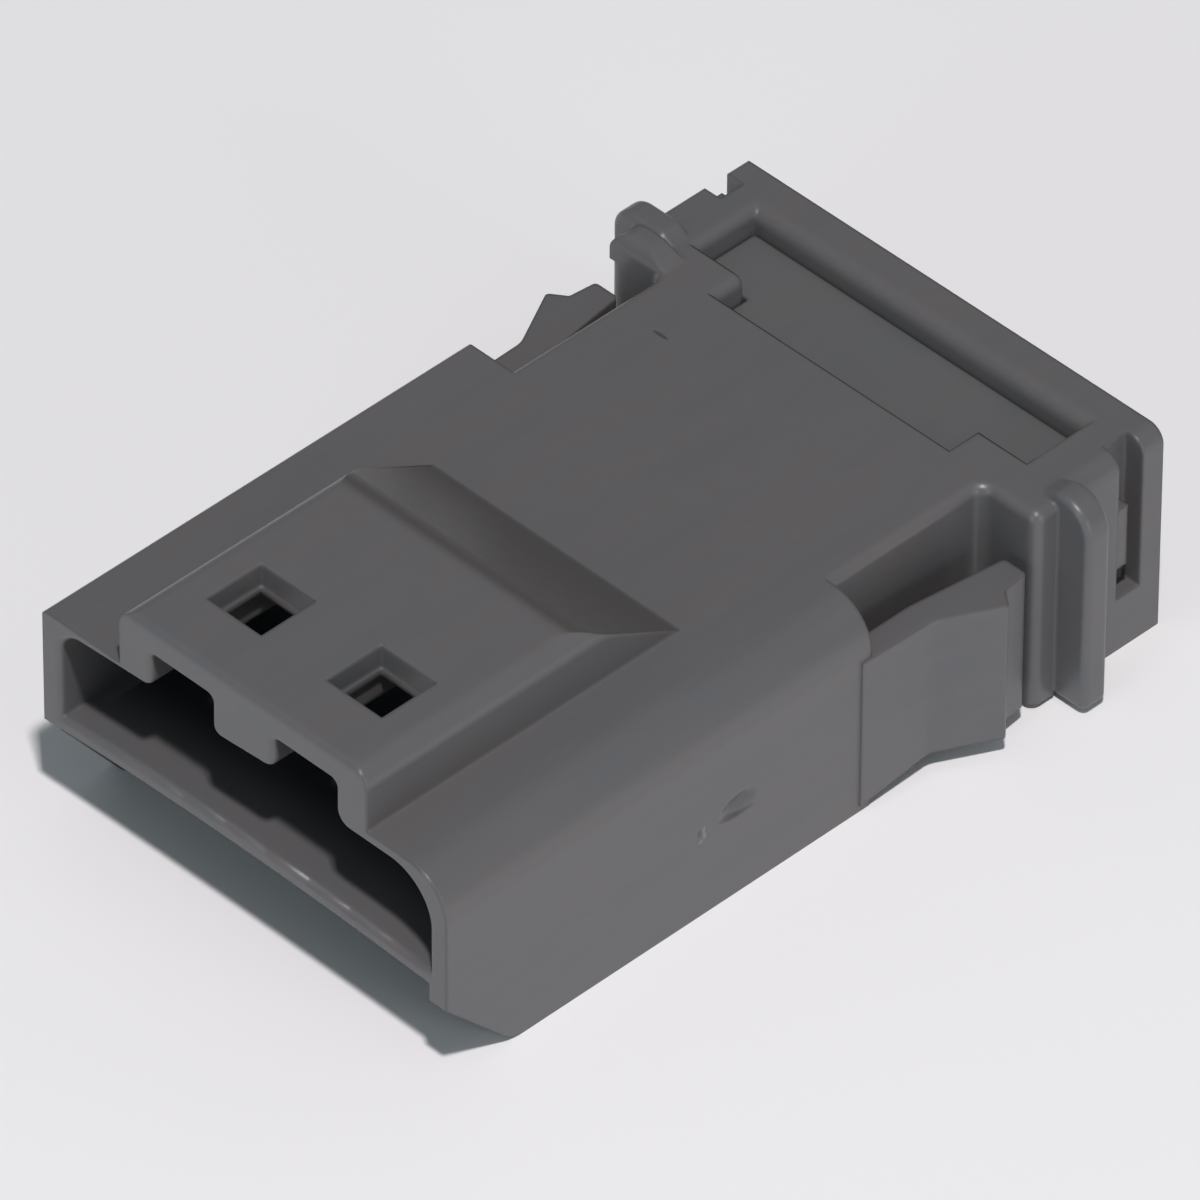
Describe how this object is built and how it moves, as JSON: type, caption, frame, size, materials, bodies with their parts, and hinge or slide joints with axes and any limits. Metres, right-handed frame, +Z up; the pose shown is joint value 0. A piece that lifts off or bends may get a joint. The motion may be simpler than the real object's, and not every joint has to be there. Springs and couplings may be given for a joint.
{
  "type": "connector pin housing",
  "caption": "Flat grey plastic plug housing with a keyed rectangular mouth, side snap arms, mounting flanges and a lock plate set in its rear top.",
  "frame": {"origin": "middle of the outer box on the underside, which is the plane the housing rests on", "axes": "+X to the right seen from the mouth, +Y from the mouth to the rear, +Z up through the raised pad"},
  "size_m": [0.0278, 0.0408, 0.0136],
  "materials": {
    "housing_plastic": "satin moulded grey plastic",
    "lock_plastic": "satin moulded grey plastic"
  },
  "bodies": {
    "shell": {"housing": "housing_plastic"},
    "lock": {"secondary_lock": "lock_plastic"}
  },
  "joints": [
    {"name": "lock_slide", "type": "slide", "parent": "shell", "child": "lock", "axis": [0, 0, 1], "range_m": [0, 0.0016]}
  ]
}
